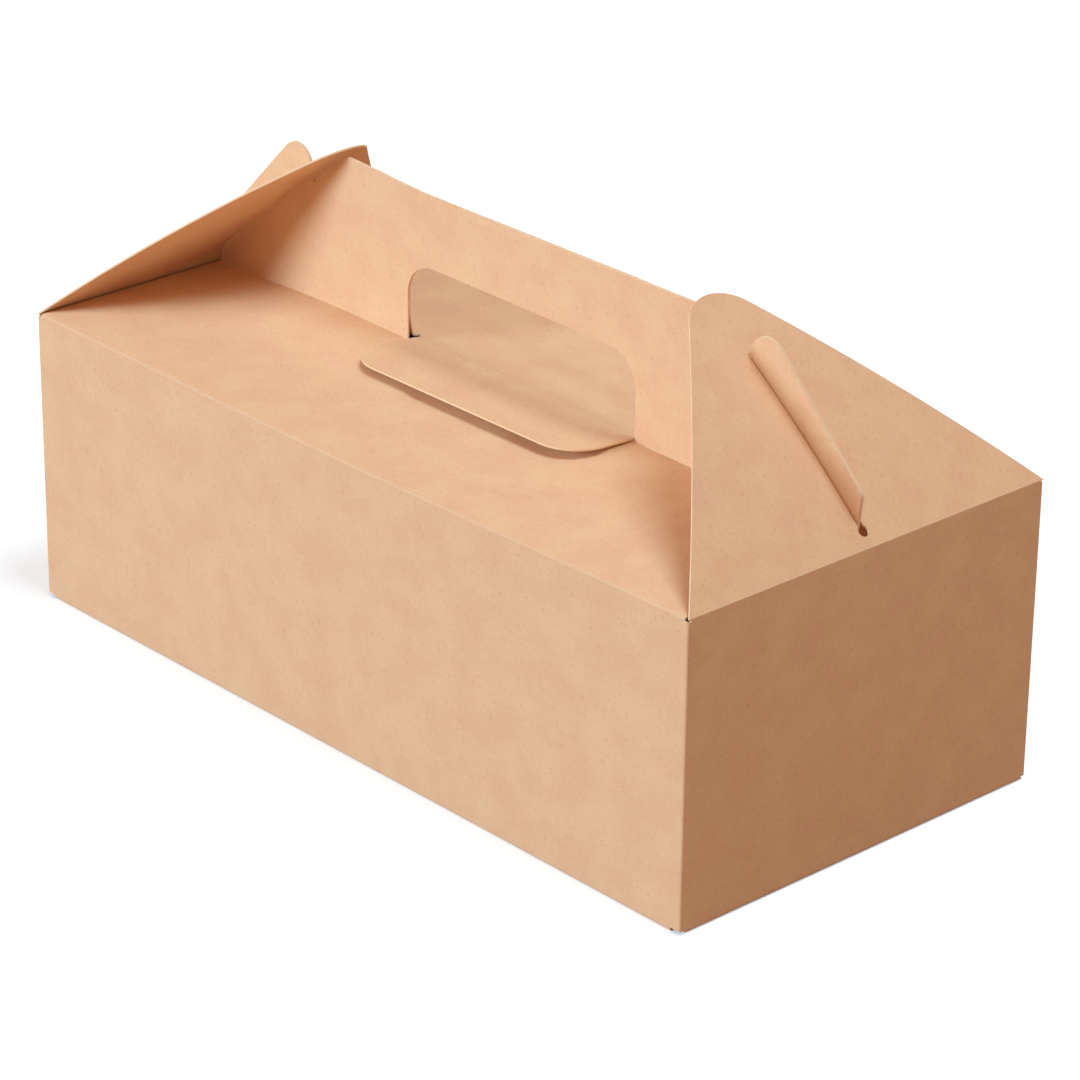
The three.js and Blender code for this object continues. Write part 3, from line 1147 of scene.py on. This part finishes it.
# %% [markdown]
# White paper alone would render as pale grey. It gets a faint glow of its own, weak beside the
# carton, where the shadow has to show, and stronger farther off, where the paper meets the white of
# the world.

# %% White sweep
paper_white = "#F4F4F4"
glow_colour = "#DAEFFF"
bounce_colour = "#9C7650"
near_glow, far_glow = 0.45, 0.84
glow_start, glow_end = 0.3, 1.5

sweep = bpy.data.materials.new("white paper sweep")
sweep.use_nodes = True
tree = sweep.node_tree
tree.nodes.clear()
paper = add(tree, "ShaderNodeBsdfDiffuse", [("Color", linear(paper_white))])
place = add(tree, "ShaderNodeTexCoord").outputs["Object"]
away = add(tree, "ShaderNodeVectorMath", [(0, place)], operation="LENGTH").outputs["Value"]
strength = add(tree, "ShaderNodeMapRange",
               [("Value", away), ("From Min", glow_start), ("From Max", glow_end),
                ("To Min", near_glow), ("To Max", far_glow)],
               interpolation_type="SMOOTHSTEP").outputs["Result"]
glow = add(tree, "ShaderNodeEmission", [("Color", linear(glow_colour)), ("Strength", strength)])
lit = add(tree, "ShaderNodeAddShader", [(0, paper.outputs[0]), (1, glow.outputs[0])])
warm = add(tree, "ShaderNodeBsdfDiffuse", [("Color", linear(bounce_colour))])
both = add(tree, "ShaderNodeMixShader",
           [(0, seen_directly(tree)), (1, warm.outputs[0]), (2, lit.outputs[0])])
add(tree, "ShaderNodeOutputMaterial", [("Surface", both.outputs[0])])
print("material:", sweep.name)

# %% Floor
floor_half = 6.0
floor_corners = [(-floor_half, -floor_half, 0), (floor_half, -floor_half, 0),
                 (floor_half, floor_half, 0), (-floor_half, floor_half, 0)]
floor_mesh = bpy.data.meshes.new("floor")
floor_mesh.from_pydata(floor_corners, [], [(0, 1, 2, 3)])
floor_mesh.materials.append(sweep)
floor = bpy.data.objects.new("floor", floor_mesh)
bpy.context.scene.collection.objects.link(floor)
print("floor", 2 * floor_half, "m wide")

# %% [markdown]
# A big lamp overhead, to the right and a little behind, lights the lids and throws the tongue's
# shadow forward. A softer one from the front left lights the long wall and reaches under the left
# gable. The right end stays in shade, lit only by the room and the floor. Both lamps are a little
# cool, which balances the warm room.

# %% Lamps
carton_middle = (0, 0, 0.08)


def soft_lamp(name, place, size, watts, colour):
    """A round lamp that points at the middle of the carton."""
    lamp = bpy.data.lights.new(name, "AREA")
    lamp.shape = "DISK"
    lamp.size = size
    lamp.energy = watts
    lamp.color = linear(colour)[:3]
    holder = bpy.data.objects.new(name, lamp)
    holder.location = place
    aim = Vector(carton_middle) - Vector(place)
    holder.rotation_euler = aim.to_track_quat("-Z", "Y").to_euler()
    bpy.context.scene.collection.objects.link(holder)
    print(name, "of", watts, "W")


soft_lamp("overhead softbox", (0.7, 0.2, 2.05), 0.95, 29, "#D8F0FF")
soft_lamp("front left softbox", (-1.35, -3.3, 0.87), 1.3, 123, "#D3EFFF")

# %% [markdown]
# The photograph's view was solved from the carton's own corners: a long lens from the front right,
# looking down by about 25 degrees. Its place and angles are those of that fit.

# %% Camera
azimuth = math.radians(47.387)
elevation = math.radians(24.732)
roll = math.radians(0.672)
camera_place = Vector((0.91576, -0.83327, 0.62030))
back = Vector((math.sin(azimuth) * math.cos(elevation), -math.cos(azimuth) * math.cos(elevation),
               math.sin(elevation)))
level = (-back).cross(Vector((0, 0, 1))).normalized()
upright = level.cross(-back)
right = math.cos(roll) * level + math.sin(roll) * upright
up = -math.sin(roll) * level + math.cos(roll) * upright
lens = bpy.data.cameras.new("camera")
lens.sensor_width = 36
lens.lens = 145.34
camera = bpy.data.objects.new("camera", lens)
turned = Matrix((right, up, back)).transposed().to_4x4()
turned.translation = camera_place
camera.matrix_world = turned
bpy.context.scene.collection.objects.link(camera)
bpy.context.scene.camera = camera
bpy.context.scene.view_settings.view_transform = "Standard"
print("camera at", [round(c, 3) for c in camera.location])
